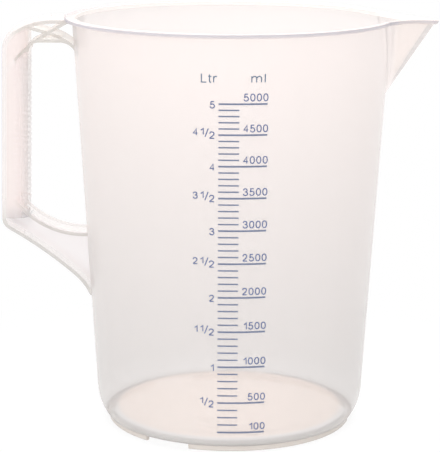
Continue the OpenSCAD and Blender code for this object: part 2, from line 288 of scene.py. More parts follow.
# %% [markdown]
# ## Where the points of a ring stand
# The body is drawn as a stack of level rings. Every ring has the same number of points, so
# neighbours join with four-sided faces. The points crowd where something happens: on the
# beak, at its crease, and in close pairs at the edges of the drain notches, where a pair
# makes the edge upright instead of sloping.

# %% Space the points
BEAK_POINTS, BEAK_CROWDING = 27, 1.15
BEAK_COLUMNS = np.linspace(0, 1, BEAK_POINTS) ** BEAK_CROWDING
CREASE_PAIR, FREE_START, FREE_POINTS = 0.006, 0.05, 14
FREE_COLUMNS = np.concatenate([[CREASE_PAIR], np.linspace(FREE_START, 1, FREE_POINTS)])
BEAK_END_DEG, STEADY_DEG = 45, 1.5
BEAK_END = math.radians(BEAK_END_DEG)
NOTCH_HALF = math.asin(NOTCH_W / 2 / FOOT_R)
NOTCH_PAIR, NOTCH_CLEAR = math.radians(0.06), math.radians(0.5)
NARROWEST = math.radians(2.2)


def steady_angles():
    """Angles from the end of the spout's zone to the handle, with a close pair at each notch edge."""
    even = np.radians(np.arange(BEAK_END_DEG + STEADY_DEG, 180 + STEADY_DEG / 2, STEADY_DEG))
    middle = math.radians(360 / NOTCH_COUNT)
    edges = [middle + side * NOTCH_HALF for side in (-1, 1)]
    kept = [angle for angle in even if min(abs(angle - edge) for edge in edges) > NOTCH_CLEAR]
    pairs = [edge + step for edge in edges for step in (-NOTCH_PAIR, NOTCH_PAIR)]
    return np.array(sorted(kept + pairs))


STEADY = steady_angles()
print("angles on one side:", BEAK_POINTS + len(FREE_COLUMNS) + len(STEADY))

# %% [markdown]
# ## One ring of the body
# On the spout's side the points slide along the ring: the last point of the beak always lies
# on the crease where the beak leaves the wall, so the crease is a clean edge and not a row of
# steps. One half of the ring is worked out, and the other is its mirror image.

# %% Draw a ring
def lip_circle(angles, radius, ear):
    """The wall's circle, reaching further out round the handle by ear."""
    moved = -ear * np.cos(angles) + np.sqrt(radius ** 2 - (ear * np.sin(angles)) ** 2)
    return np.maximum(radius, moved)


def on_beak(near, rho, radius, z, grow, ear):
    """Angles and radii of the near points along the beak, and how far each of them dips."""
    u, angle, reach = beak_curve(z, grow)
    outside = reach > lip_circle(angle, radius, ear)
    if not outside[0]:
        return near, rho, np.zeros_like(near)
    crossing = u[int(np.argmin(outside)) if not outside.all() else -1]
    near = np.maximum(np.interp(BEAK_COLUMNS * crossing, u, angle), BEAK_COLUMNS * NARROWEST)
    rho = np.maximum(np.interp(near, angle, reach), lip_circle(near, radius, ear))
    out = np.clip(1 - np.interp(near, angle, u) ** 2 / crossing ** 2, 0, 1)
    return near, rho, SPOUT_DIP * (z - KEEL_Z) / SPOUT_DROP * out ** 2


def free_angles(start, z):
    """Angles from the beak's last point to the end of the spout's zone, after a close pair."""
    if z < FLOOR_Z:
        first = start + 2 * NOTCH_PAIR
        return np.concatenate([[first], first + (BEAK_END - first) * FREE_COLUMNS[1:]])
    return start + (BEAK_END - start) * FREE_COLUMNS


def ring(radius, z, grow=None, ear=0.0):
    """Points of one ring. Where grow is given, the ring follows the beak, moved out by grow."""
    spread = np.interp(z, [FOOT_H, KEEL_Z], [NOTCH_HALF - NOTCH_PAIR, NARROWEST])
    near = BEAK_COLUMNS * spread
    rho, dip = lip_circle(near, radius, ear), np.zeros_like(near)
    if grow is not None and z > KEEL_Z:
        near, rho, dip = on_beak(near, rho, radius, z, grow, ear)
    rest = np.concatenate([free_angles(near[-1], z), STEADY])
    half = np.concatenate([near, rest])
    rho = np.concatenate([rho, lip_circle(rest, radius, ear)])
    height = z - np.concatenate([dip, np.zeros(len(rest))])
    angles = np.concatenate([half, -half[-2:0:-1]])
    rho, height = (np.concatenate([side, side[-2:0:-1]]) for side in (rho, height))
    return np.stack([rho * np.cos(angles), rho * np.sin(angles), height], 1)


print("points in a ring:", len(ring(wall_r(KEEL_Z / 2), KEEL_Z / 2)))

# %% [markdown]
# ## Marks on the skin
# A milky plastic looks denser wherever there is more of it to look through, such as in the lip
# and in the crease of the beak, and there its colour is also darkened with painted shade. The
# band inside the lip gets a painted highlight instead. The mesh knows where these are, so each
# ring carries marks beside its points. A mark is a number that the material reads later. On the
# real jug the crease shows as two fine lines.

# %% Mark the rings
MARKS = ("outside", "lip", "brim", "crease")
CREASE_START = KEEL_Z + 2
CREASE_LINES = (0.4, 1.0, 0.05, 0.65, 0.05)


def crease_mark(count):
    """The two lines of the crease, column by column from the wall towards the tip, on both sides."""
    mark = np.zeros(count)
    for step, value in enumerate(CREASE_LINES):
        column = BEAK_POINTS - step
        mark[[column, count - column]] = value
    return mark


class Layers:
    """The rings of the body in order, each with its marks."""

    def __init__(self):
        self.rings, self.marks = [], []

    def lay(self, points, outside=1.0, lip=0.0, brim=0.0):
        """Lays one more ring, with the same marks all round but for the crease."""
        crease = crease_mark(len(points)) * outside * (points[0, 2] > CREASE_START)
        columns = [np.full(len(points), value) for value in (outside, lip, brim)]
        self.rings.append(points)
        self.marks.append(np.stack(columns + [crease], 1))


layers = Layers()
print("marks:", MARKS)

# %% [markdown]
# ## The underside and the foot
# The profile starts in the middle of the underside and goes round the foot. Small roundings
# catch the light as moulded edges do. The foot ring has three drain notches, so its lowest
# rings are lifted where a notch is.

# %% Lay the underside and the foot
UNDER_RADII, FLOOR_ROUND, FOOT_ROUND = (20, 45, 65), 0.8, 0.5


def in_notch(points):
    """Which points of a ring lie in a drain notch."""
    step = 2 * math.pi / NOTCH_COUNT
    turn = (np.arctan2(points[:, 1], points[:, 0]) + step / 2) % step - step / 2
    return np.abs(turn) < NOTCH_HALF


def lay_underside():
    """The flat underside, rounded where it meets the foot."""
    inner, under = FOOT_R - FOOT_T, FLOOR_Z - FLOOR_T
    for radius in (*UNDER_RADII, inner - FLOOR_ROUND):
        layers.lay(ring(radius, under))
    layers.lay(ring(inner, under - FLOOR_ROUND))


def lay_foot():
    """The foot ring, with its notches."""
    inner = FOOT_R - FOOT_T
    sides = ((inner, FOOT_ROUND), (inner + FOOT_ROUND, 0), (FOOT_R - FOOT_ROUND, 0), (FOOT_R, FOOT_ROUND))
    for radius, z in (*sides, (FOOT_R, FOOT_H)):
        points = ring(radius, z)
        points[in_notch(points), 2] = FOOT_H
        layers.lay(points)


lay_underside()
lay_foot()
print("points lifted by the notches:", int(in_notch(layers.rings[-1]).sum()))

# %% [markdown]
# ## The outside
# From the foot the profile climbs a rounded base and the cone of the wall. The base is one
# arc that runs on smoothly into the wall. The levels stand closer where the keel of the beak
# begins, because the outline changes fastest there.

# %% Lay the outside
ARC_STEPS = 12
LEVEL_COUNT, LEVEL_START, LEVEL_END = 16, CORNER_Z + 8, KEEL_Z - 2
WALL_LEVELS = np.linspace(LEVEL_START, LEVEL_END, LEVEL_COUNT)
BEAK_LEVEL_COUNT, BEAK_LEVEL_CROWDING = 30, 1.5
BEAK_LEVELS = np.linspace(0, 1, BEAK_LEVEL_COUNT) ** BEAK_LEVEL_CROWDING


def corner_arc(start, end):
    """An arc that leaves the taper at start and ends at end."""
    normal = np.array([-1, TAPER]) / math.hypot(1, TAPER)
    start, end = np.array(start), np.array(end)
    chord = end - start
    radius = chord @ chord / 2 / (normal @ chord)
    centre = start + radius * normal
    first, last = (math.atan2(*(point - centre)[::-1]) for point in (start, end))
    turns = np.linspace(first, last, ARC_STEPS + 1)
    return [tuple(centre + radius * np.array([math.cos(turn), math.sin(turn)])) for turn in turns]


def lay_outside():
    """The rounded base and the wall with its beak, up to the lip."""
    for radius, z in reversed(corner_arc((wall_r(CORNER_Z), CORNER_Z), (BASE_R, FOOT_H))):
        layers.lay(ring(radius, z))
    for z in (*WALL_LEVELS, *(KEEL_Z + BEAK_LEVELS * (SPOUT_DROP - LIP_H))):
        layers.lay(ring(wall_r(z), z, 0.0))


lay_outside()
print("the base is rounded from", FOOT_H, "to", CORNER_Z, "mm")

# %% [markdown]
# ## The lip and the inside
# The profile goes over the lip, down the inside and across the floor. The edges of the lip are
# rounded by a third of a millimetre. The band inside the lip is marked as the brim, and its mark
# paints a highlight there for the light from above that it catches, so that it glows.

# %% Lay the lip and the inside
EDGE, BRIM_H, BRIM_FADE = 0.35, 2.4, 0.5


def lay_lip():
    """The lip from its lower edge to the end of the brim inside it."""
    low, top_r, crown = BODY_H - LIP_H, wall_r(BODY_H), LIP_T - EDGE
    # Each row gives the height, the growth, the lip's mark of painted shade and density, and the brim's mark
    # of painted highlight.
    outline = ((low, crown, 0.4, 0), (low + EDGE, LIP_T, 0.65, 0), (BODY_H - 2 * EDGE, LIP_T, 1.0, 0),
               (BODY_H - EDGE / 2, LIP_T - EDGE / 3, 0.5, 0), (BODY_H, crown, 0.25, 0.1))
    for z, grow, lip, brim in outline:
        layers.lay(ring(top_r + grow, z, grow, LIP_EAR * grow / LIP_T), lip=lip, brim=brim)
    layers.lay(ring(top_r - WALL + EDGE, BODY_H, EDGE - WALL), outside=0.0, brim=0.4)
    for drop, brim in ((EDGE, 1.0), (BRIM_H, 1.0), (BRIM_H + BRIM_FADE, 0.0)):
        z = BODY_H - drop
        layers.lay(ring(wall_r(z) - WALL, z, -WALL), outside=0.0, brim=brim)


def lay_inside():
    """The inside of the wall, its rounded corner and the floor."""
    for z in (*(KEEL_Z + BEAK_LEVELS[::-1] * (SPOUT_DROP - 2 * LIP_H)), *WALL_LEVELS[::-1]):
        layers.lay(ring(wall_r(z) - WALL, z, -WALL), outside=0.0)
    for radius, z in corner_arc((wall_r(CORNER_Z) - WALL, CORNER_Z), (FLOOR_R, FLOOR_Z)):
        layers.lay(ring(radius, z), outside=0.0)
    for radius in reversed(UNDER_RADII):
        layers.lay(ring(radius, FLOOR_Z), outside=0.0)


lay_lip()
lay_inside()
print("rings of the body:", len(layers.rings))

# %% [markdown]
# ## From points to a piece
# The body, the figures and the floor are all made from points and faces, so one function
# turns these into an object. Its faces are shaded smoothly, except over edges that are
# sharper than a given angle.

# %% Make an object from points
ROUND_EDGE = 35


def mesh_piece(name, points, faces, sharp=ROUND_EDGE):
    """A smooth-shaded object from points in millimetres, with its sharp edges marked."""
    mesh = bpy.data.meshes.new(name)
    mesh.from_pydata([tuple(point) for point in np.asarray(points) * MM], [], faces)
    mesh.update()
    mesh.shade_smooth()
    mesh.set_sharp_from_angle(angle=math.radians(sharp))
    piece = bpy.data.objects.new(name, mesh)
    bpy.context.scene.collection.objects.link(piece)
    return piece


print("edges stay sharp above", ROUND_EDGE, "degrees")

# %% [markdown]
# ## The body as one closed skin
# The CAD model has the body in five solids that meet face to face. In a clear plastic those
# inner faces would show, so the body is one closed mesh: faces join each ring to the next, a
# fan of triangles closes each end, and the marks go onto the points.

# %% Join the rings
def closed_skin(rings):
    """Points and faces of neighbouring rings, with a fan at each end."""
    count = len(rings[0])
    points = np.concatenate(rings + [[[0, 0, rings[0][0, 2]]], [[0, 0, rings[-1][0, 2]]]])
    following = [(i, (i + 1) % count) for i in range(count)]
    faces = []
    for low in range(0, (len(rings) - 1) * count, count):
        faces += [(low + i, low + j, low + count + j, low + count + i) for i, j in following]
    last, middle = (len(rings) - 1) * count, len(rings) * count
    for i, j in following:
        faces += [(middle, j, i), (middle + 1, last + i, last + j)]
    return points, faces


def add_marks(piece, marks):
    """Stores one number a point under each name."""
    for word, values in zip(MARKS, marks.T):
        layer = piece.data.attributes.new(word, "FLOAT", "POINT")
        layer.data.foreach_set("value", values.astype(np.float32))


body = mesh_piece("jug_body", *closed_skin(layers.rings))
fan_marks = [[1.0, 0, 0, 0], [0.0, 0, 0, 0]]
add_marks(body, np.concatenate(layers.marks + [fan_marks]))
print("body:", len(body.data.vertices), "points,", [round(side / MM, 1) for side in body.dimensions], "mm")

# %% [markdown]
# ## The zones of the body
# The same plastic looks different from place to place: pinkish on the flat underside, grey
# with painted shade in the toe, where the wall turns in and faces down, and dark with painted
# shade in the fine lines beside the foot. Each zone is a mask of soft steps along the height
# or the radius. A pair says where a step begins and ends, or where a band lies, in metres.

# %% Find the zones of the base
UNDER_Z, UNDER_R, UNDER_EDGE = (0.0065, 0.0070), (0.0690, 0.0730), 0.0003
TOE_Z, TOE_R = (0.0036, 0.0085), (0.0735, 0.0755)
ROOT_Z, ROOT_R, ROOT_EDGE = (0.0036, 0.0060), (0.0744, 0.0750), 0.0006
LINE_Z, LINE_R, LINE_EDGE = (0.0035, 0.0043), (0.0755, 0.0765), 0.0005
FOOT_Z, FOOT_EDGE_R = (0.0030, 0.0036), (0.0735, 0.0745)


def base_zones(plastic, outside, z, radius):
    """The flat underside, the toe of the wall in painted shade, the two fine lines of painted shade and the
    foot.
    """
    return {
        "under": outside * plastic.band(z, *UNDER_Z, UNDER_EDGE) * plastic.fall(radius, *UNDER_R),
        # The toe is painted in shade, where the wall turns in and faces down.
        "shaded toe": outside * plastic.fall(z, *TOE_Z) * plastic.rise(radius, *TOE_R),
        "root": outside * plastic.band(z, *ROOT_Z, ROOT_EDGE) * plastic.fall(radius, *ROOT_R),
        "toe line": outside * plastic.band(z, *LINE_Z, LINE_EDGE) * plastic.rise(radius, *LINE_R),
        "foot": plastic.fall(z, *FOOT_Z) * plastic.rise(radius, *FOOT_EDGE_R),
    }


print("the toe lies between radius", TOE_R[0], "and the wall, below", TOE_Z[1], "m")

# %% [markdown]
# ## The spout and the joints
# The keel under the nose and the two patches where the handle's roots join the wall are
# darker with painted shade, and the patches are a little denser too. The beak as a whole is a
# little warmer in tone. These zones need the side and the depth too: Y is 0 in the plane of the
# spout and the handle, and X runs along it.

# %% Find the zones of the spout and the joints
KEEL_SIDE, KEEL_EDGE, KEEL_X, KEEL_TOP = (0.0010, 0.0030), 0.0006, (0.098, 0.103), (0.250, 0.2535)
BEAK_X, BEAK_Z = (0.0995, 0.1025), (0.205, 0.215)
RIM_JOINT, RIM_JOINT_SHARE = ((0.028, 0.034), (-0.09, -0.08), (0.236, 0.2535)), 1.0
ARM_JOINT, ARM_JOINT_SHARE = ((0.024, 0.032), (-0.08, -0.07), (0.088, 0.114)), 0.7
JOINT_EDGE = 0.006


def joint_zone(plastic, outside, x, y, z, limits):
    """A patch of the wall where the handle is joined to it, darkened with painted shade."""
    side, depth, level = limits
    patch = outside * plastic.fall(abs(y), *side) * plastic.fall(x, *depth)
    return patch * plastic.band(z, *level, JOINT_EDGE)


def spout_zones(plastic, outside, x, y, z):
    """The keel under the nose, darkened with painted shade, and the whole beak."""
    keel = outside * plastic.band(abs(y), *KEEL_SIDE, KEEL_EDGE) * plastic.rise(x, *KEEL_X)
    beak = plastic.rise(x, *BEAK_X) * plastic.rise(z, *BEAK_Z)
    return {"keel": keel * plastic.fall(z, *KEEL_TOP), "beak": beak}


print("joints from", ARM_JOINT[2][0], "to", RIM_JOINT[2][1], "m up the wall")

# %% [markdown]
# ## The plastic of the body
# Natural polypropylene is milky: light scatters inside it, so a wall hides part of what is
# behind it and adds a soft veil of its own, while the rest comes through unblurred. Alpha
# does exactly that, and it is quick and stays clean. Most of the veil sits in the outer skin,
# so that the outline of the jug, where a line of sight misses the inner skin, is as milky as
# its middle. Light and shade are painted into the colour: it is a lit pinkish white at the
# top, where light falls in from above, and painted shade makes it greyer lower down, where
# less of that light arrives. The veil also grows a little towards the bottom. The marks and
# zones then make the lip, the crease, the keel and the base darker with painted shade, most
# of them denser too, and the brim lighter with a painted highlight.

# %% Choose the tones of the body
# The first two tones are painted light and painted shade: the plastic as lit at the top and as shaded lower
# down. The tones of the toe, the lip and the fine dark lines are painted shade too, and the brim's tone is a
# painted highlight.
LIT_TOP_MILK, SHADED_LOW_MILK, PAINTED_SHADE_RISE = (0.955, 0.848, 0.815, 1), (0.68, 0.645, 0.63, 1), (0.045, 0.24)
ZONE_TONES = {"cloud": (0.80, 0.76, 0.76, 1), "beak": (0.86, 0.74, 0.68, 1),
              "under": (0.905, 0.765, 0.685, 1), "shaded toe": (0.57, 0.55, 0.53, 1),
              "foot": (0.86, 0.79, 0.73, 1), "shade": (0.50, 0.47, 0.46, 1),
              "lip": (0.52, 0.50, 0.56, 1), "brim": (0.97, 0.93, 0.90, 1)}
SHADE_SHARES = {"toe line": 0.9, "root": 0.6, "crease": 0.7, "keel": 0.68, "joint": 0.55}
CLOUD_SHARE, BEAK_SHARE, BEAK_ON_LIP = 0.06, 0.6, 0.25
INNER_VEIL, OUTER_VEIL, LOW_VEIL = 0.10, 0.29, 0.04
ZONE_VEILS = {"under": 0.36, "shaded toe": 0.22, "foot": 0.1, "toe line": 0.33, "root": 0.11, "crease": 0.25,
              "joint": 0.16, "lip": 0.45, "brim": 0.75}
print("zones that tint the body:", list(ZONE_TONES))

# %% [markdown]
# ## The satin skin
# The jug's skin is satin, as moulds with a spark-eroded face give it: not glossy, not matt, and
# never quite even. A fine bump gives the grain, and soft clouds in the roughness make the
# sheen wander. All the plastics share it.

# %% Give a plastic its satin skin
GRAIN_SCALE, GRAIN_BUMP, GRAIN_DEPTH = 1400.0, 0.08, 0.0002
CLOUD_SCALE, CLOUD_DETAIL = 26.0, 3.0
ROUGH_LOW, ROUGH_SPAN = 0.29, 0.14
REFRACTION, SHEEN = 1.49, 0.4


def satin(plastic, spot):
    """The skin of the mould: a fine grain in the bump and clouds in the roughness."""
    cloud = plastic.noise(spot, CLOUD_SCALE, CLOUD_DETAIL)
    grain = {"Strength": GRAIN_BUMP, "Distance": GRAIN_DEPTH, "Height": plastic.noise(spot, GRAIN_SCALE)}
    bump = plastic.node("ShaderNodeBump", {}, grain)
    rough = cloud * ROUGH_SPAN + ROUGH_LOW
    plastic.finish(Roughness=rough, Normal=bump, IOR=REFRACTION, Specular_IOR_Level=SHEEN)
    return cloud


print("roughness from", ROUGH_LOW, "to", ROUGH_LOW + ROUGH_SPAN)

# %% [markdown]
# ## The body's mix
# The zones lie over each other like thin coats: each one blends its tone over the colour so
# far. The fine dark lines share one tone of painted shade. Every zone also adds its own part to the veil.

# %% Mix the plastic of the body
def body_plastic():
    """The plastic of the body, coat by coat."""
    plastic = Recipe("frosted_body_plastic")
    spot, (x, y, z) = plastic.place()
    cloud = satin(plastic, spot)
    zone = {word: plastic.mark(word) for word in MARKS}
    outside = zone["outside"]
    zone.update(base_zones(plastic, outside, z, (x * x + y * y).root()))
    zone.update(spout_zones(plastic, outside, x, y, z))
    zone["joint"] = (joint_zone(plastic, outside, x, y, z, RIM_JOINT) * RIM_JOINT_SHARE
                     + joint_zone(plastic, outside, x, y, z, ARM_JOINT) * ARM_JOINT_SHARE)
    height = plastic.rise(z, *PAINTED_SHADE_RISE, "LINEAR")
    # The shade is painted shade, shared by the fine lines, the crease, the keel and the joints.
    shown = {**zone, "cloud": cloud * CLOUD_SHARE, "beak": zone["beak"] * BEAK_SHARE,
             "lip": zone["lip"] * (1 - zone["beak"] * BEAK_ON_LIP),
             "shade": sum(zone[word] * share for word, share in SHADE_SHARES.items())}
    # The colour starts from painted shade low down and painted light at the top.
    colour = plastic.blend(height, SHADED_LOW_MILK, LIT_TOP_MILK)
    for word, tone in ZONE_TONES.items():
        colour = plastic.blend(shown[word], colour, tone)
    veil = INNER_VEIL + outside * OUTER_VEIL + (1 - height) * outside * LOW_VEIL
    dense = sum(zone[word] * more for word, more in ZONE_VEILS.items())
    return plastic.finish(Base_Color=colour, Alpha=veil + dense)


body.data.materials.append(body_plastic())
print("nodes in the body's plastic:", len(body.data.materials[0].node_tree.nodes))

# %% [markdown]
# ## The plastics of the handle
# The handle is the same plastic in thinner plates, seen edge on in places. A plate is pale
# when it faces us, and its edge is dark, because the line of sight runs along inside it. So
# the handle has five mixes of one recipe: the shell, the edges of its strap, arch, ribs and
# arm, the thin web under its arm, the fine ridges and bars, and the plate that closes the grip.
# Zones change a mix in places. The window under the strap is creamier on the shell, and the
# edges are darker there and along the arm, but fainter on the far half of the handle, which
# is seen through the near one. The finger side of the shell lies in its own shade. Each zone
# is a function of the place on the surface, so that any mix can take any zone.

# %% Find the zones of the handle
MIDDLE_Y, FAR_LOSS = (-0.002, 0.002), 0.7
WINDOW_Z, WINDOW_X, WINDOW_EDGE = (0.215, 0.249), (-0.128, -0.120), 0.002
WINDOW_FRAME_Z, WINDOW_FRAME_X = (0.205, 0.235), (-0.139, -0.128)
ARM_TOP = (0.125, 0.145)
FINGER_X, FINGER_TOP, FINGER_SHARE = (-0.1315, -0.1275), (0.225, 0.235), 0.6


def near_half(plastic, y):
    """1 on the near half of the handle, and little on the far one."""
    return 1 - plastic.rise(y, *MIDDLE_Y) * FAR_LOSS


def window_faces(plastic, x, y, z):
    """The faces that look into the window under the strap."""
    return plastic.band(z, *WINDOW_Z, WINDOW_EDGE) * plastic.rise(x, *WINDOW_X)


def window_frame(plastic, x, y, z):
    """The edges of the plates round the window, mostly the near ones."""
    return plastic.rise(z, *WINDOW_FRAME_Z) * plastic.rise(x, *WINDOW_FRAME_X) * near_half(plastic, y)


def arm_edges(plastic, x, y, z):
    """The edges of the arm, mostly the near ones."""
    return plastic.fall(z, *ARM_TOP) * near_half(plastic, y)


def finger_side(plastic, x, y, z):
    """The side of the grip that the fingers close on."""
    return plastic.rise(x, *FINGER_X) * plastic.fall(z, *FINGER_TOP) * FINGER_SHARE


print("window between", *WINDOW_Z, "m, arm below", ARM_TOP[1], "m")

# %% [markdown]
# ## Five mixes of one recipe
# Each mix has a colour, a slightly deeper colour that drifts over it in clouds, and the share
# of what is behind that it hides. A zone adds a mask, a tone and how much more it hides.

# %% Mix the plastics of the handle
HANDLE_CLOUD = 0.3


def handle_plastic(name, colour, deeper, veil, *zones):
    """Milky plastic for one kind of face, changed in zones of (mask, tone, more veil)."""
    plastic = Recipe(name)
    spot, (x, y, z) = plastic.place()
    tone, alpha = plastic.blend(satin(plastic, spot) * HANDLE_CLOUD, colour, deeper), veil
    for mask, other, more in zones:
        part = mask(plastic, x, y, z)
        tone = plastic.blend(part, tone, other)
        alpha = part * more + alpha if more else alpha
    return plastic.finish(Base_Color=tone, Alpha=alpha)


shell_plastic = handle_plastic("frosted_handle_shell", (0.95, 0.84, 0.81, 1), (0.90, 0.79, 0.77, 1), 0.28,
                               (window_faces, (0.96, 0.90, 0.82, 1), 0.0),
                               (finger_side, (0.72, 0.69, 0.67, 1), 0.0))
edge_plastic = handle_plastic("frosted_handle_edge", (0.88, 0.79, 0.75, 1), (0.84, 0.75, 0.71, 1), 0.28,
                              (window_frame, (0.56, 0.52, 0.48, 1), 0.36),
                              (arm_edges, (0.48, 0.455, 0.42, 1), 0.28))
web_plastic = handle_plastic("frosted_handle_web", (0.985, 0.945, 0.955, 1), (0.96, 0.92, 0.93, 1), 0.45)
ridge_plastic = handle_plastic("frosted_handle_ridges", (0.85, 0.79, 0.83, 1), (0.81, 0.75, 0.79, 1), 0.09)
plate_plastic = handle_plastic("frosted_handle_plate", (0.50, 0.52, 0.55, 1), (0.47, 0.49, 0.52, 1), 0.42)
HANDLE_PLASTICS = (shell_plastic, edge_plastic, web_plastic, ridge_plastic, plate_plastic)
SHELL_FACE, EDGE_FACE, WEB_FACE, LAID_FACE, PLATE_FACE = range(len(HANDLE_PLASTICS))
print("plastics:", [plastic.name for plastic in HANDLE_PLASTICS])

# %% [markdown]
# ## The handle as one skin
# The handle is moulded with the body: a crowned strap outside, a hollow grip inside it, an
# arch over the fingers, ribs that cross in the window, and an arm with a web. The CAD solids
# have the right shapes and meet face to face. In a see-through plastic those inner faces would
# show, so copies of the solids are fused with Boolean modifiers into one skin. Each solid's own
# surface is kept for a while, because it tells later which faces came from it.

# %% Fuse the solids
FUSED_NODES = ("outer_strap", "finger_arch", "grip", "grip_floor", "cross_ribs", "arm_flange", "arm_web")
WELD, SLIVER = 2e-6, 1e-6


def welded_copy(node):
    """A copy of a CAD node with its doubled points joined, ready to be fused."""
    mesh = frame["nodes"][node].data.copy()
    for layer in [layer for layer in mesh.attributes if layer.name == "custom_normal"]:
        mesh.attributes.remove(layer)
    work = bmesh.new()
    work.from_mesh(mesh)
    bmesh.ops.remove_doubles(work, verts=work.verts, dist=WELD)
    bmesh.ops.dissolve_degenerate(work, edges=work.edges, dist=SLIVER)
    work.to_mesh(mesh)
    work.free()
    copy = bpy.data.objects.new("copy_" + node, mesh)
    bpy.context.scene.collection.objects.link(copy)
    return copy


def surface_of(piece):
    """A search tree of a piece's faces, which finds the nearest one to a point."""
    work = bmesh.new()
    work.from_mesh(piece.data)
    tree = BVHTree.FromBMesh(work)
    work.free()
    return tree


def fused(nodes):
    """One mesh from several nodes, without the faces where they meet, and each node's surface."""
    parts = {node: welded_copy(node) for node in nodes}
    surfaces = {node: surface_of(part) for node, part in parts.items()}
    first, *others = parts.values()
    for part in others:
        union = first.modifiers.new("union", "BOOLEAN")
        union.operation, union.solver, union.object = "UNION", "MANIFOLD", part
    bpy.context.view_layer.update()
    shape = bpy.data.meshes.new_from_object(first.evaluated_get(bpy.context.evaluated_depsgraph_get()))
    for part in parts.values():
        bpy.data.objects.remove(part)
    return shape, surfaces


handle_skin, surfaces = fused(FUSED_NODES)
print("faces of the fused skin:", len(handle_skin.polygons))

# %% [markdown]
# ## Which plastic a face gets
# A face takes its mix from the solid whose surface is nearest and from the way it looks. Faces
# that look sideways belong to the edges of the plates.

# %% Sort the faces
EDGED_NODES = ("outer_strap", "finger_arch", "cross_ribs", "arm_flange")
SIDEWAYS, LEVEL = 0.9, 0.7


def face_kind(face):
    """The plastic of a face: shell, edge of a plate, web or floor of the grip."""
    middle = face.calc_center_median()
    node = min(surfaces, key=lambda name: surfaces[name].find_nearest(middle)[3])
    if node == "arm_web":
        return WEB_FACE
    if abs(face.normal.y) > SIDEWAYS:
        return EDGE_FACE if node in EDGED_NODES else SHELL_FACE
    return PLATE_FACE if node == "grip_floor" and abs(face.normal.z) > LEVEL else SHELL_FACE


print("nodes with dark edges:", EDGED_NODES)

# %% [markdown]
# ## The ridges and bars
# The ridges on the finger side and the bars for the thumb only lie on the skin. There are many
# and they are small, so fusing them would gain nothing. They are added as they are, without
# the faces that touch the skin, which would show through the plastic.

# %% Lay the ridges and bars on the skin
LAID_NODES = ("thumb_bars", "finger_ridges")
TOUCHING = 1e-5


def touches_skin(face):
    """Whether a face lies against the fused solids."""
    middle = face.calc_center_median()
    return min(surface.find_nearest(middle)[3] for surface in surfaces.values()) < TOUCHING


def lay_on(work, node):
    """Adds a node's shells to the skin, without their faces that touch it."""
    copy, before = welded_copy(node), len(work.faces)
    work.from_mesh(copy.data)
    work.faces.ensure_lookup_table()
    added = work.faces[before:]
    for face in added:
        face.material_index = LAID_FACE
    bmesh.ops.delete(work, geom=[face for face in added if touches_skin(face)], context="FACES")
    bpy.data.objects.remove(copy)


def paint_faces(shape):
    """Gives every face of the skin its plastic and adds the ridges and bars."""
    shape.materials.clear()
    for plastic in HANDLE_PLASTICS:
        shape.materials.append(plastic)
    work = bmesh.new()
    work.from_mesh(shape)
    for face in work.faces:
        face.material_index = face_kind(face)
    print("open edges of the fused skin:", sum(len(edge.link_faces) != 2 for edge in work.edges))
    for node in LAID_NODES:
        lay_on(work, node)
    work.to_mesh(shape)
    work.free()


paint_faces(handle_skin)
print("faces with the ridges and bars:", len(handle_skin.polygons))

# %% [markdown]
# ## The handle as a piece
# Flat plates with rounded corners shade unevenly when they are smoothed, because small faces
# pull as much on the shading as large ones. A modifier weighs the faces by their size instead.

# %% Make the handle
HANDLE_EDGE = 28


def handle_piece(name, shape):
    """The handle as an object, with even shading on its flat faces."""
    shape.name = name
    shape.validate(clean_customdata=False)
    shape.shade_smooth()
    shape.set_sharp_from_angle(angle=math.radians(HANDLE_EDGE))
    piece = bpy.data.objects.new(name, shape)
    bpy.context.scene.collection.objects.link(piece)
    piece.modifiers.new("even_shading", "WEIGHTED_NORMAL").keep_sharp = True
    return piece


handle = handle_piece("jug_handle", handle_skin)
kinds = [polygon.material_index for polygon in handle.data.polygons]
print("faces of each plastic:", [kinds.count(kind) for kind in range(len(HANDLE_PLASTICS))])

# %% [markdown]
# ## Where the lines of the scale are
# The long lines are CAD solids, and the figures have to stand on them. Their heights follow
# from the volume of the bore, so it is added up again in thin slices from the floor to the
# brim, and the height of any volume is read from that table.

# %% Work out where the lines are
SLICES = 4000
ML_IN_MM3 = 1 / 1000


def fill_levels():
    """Volume in millilitres against height, added up in thin slices of the inside."""
    z = np.linspace(FLOOR_Z, BODY_H, SLICES)
    corner = np.array(corner_arc((wall_r(CORNER_Z) - WALL, CORNER_Z), (FLOOR_R, FLOOR_Z)))[::-1]
    bore = np.where(z < CORNER_Z, np.interp(z, corner[:, 1], corner[:, 0]), wall_r(z) - WALL)
    area = math.pi * bore ** 2
    return np.concatenate([[0], np.cumsum((area[1:] + area[:-1]) / 2 * np.diff(z))]) * ML_IN_MM3, z


VOLUMES, LEVELS = fill_levels()


def line_z(millilitres):
    """The height of the line for a volume."""
    return float(np.interp(millilitres, VOLUMES, LEVELS))


print("top line at", round(line_z(5000), 1), "mm, lowest at", round(line_z(100), 1), "mm")

# %% [markdown]
# ## The signs as pen strokes
# The figures are drawn as a draughtsman letters them: each is one or a few pen strokes, given
# by a few points in a unit square, and the pen's width is the same everywhere. The points of
# a curve are joined smoothly, and those of a line stay as corners.

# %% Draw the signs
OVAL_POINTS, SQUARENESS = 25, 0.9


def squared(part):
    """Moves a sine or cosine a little outwards, and from -1 to 1 into the unit square."""
    return 0.5 + 0.5 * math.copysign(abs(part) ** SQUARENESS, part)


def superoval():
    """A closed oval that is slightly squarer than an ellipse, as the figure 0 is."""
    turns = np.linspace(0, 2 * math.pi, OVAL_POINTS)
    return [(squared(math.cos(turn)), squared(math.sin(turn))) for turn in turns]


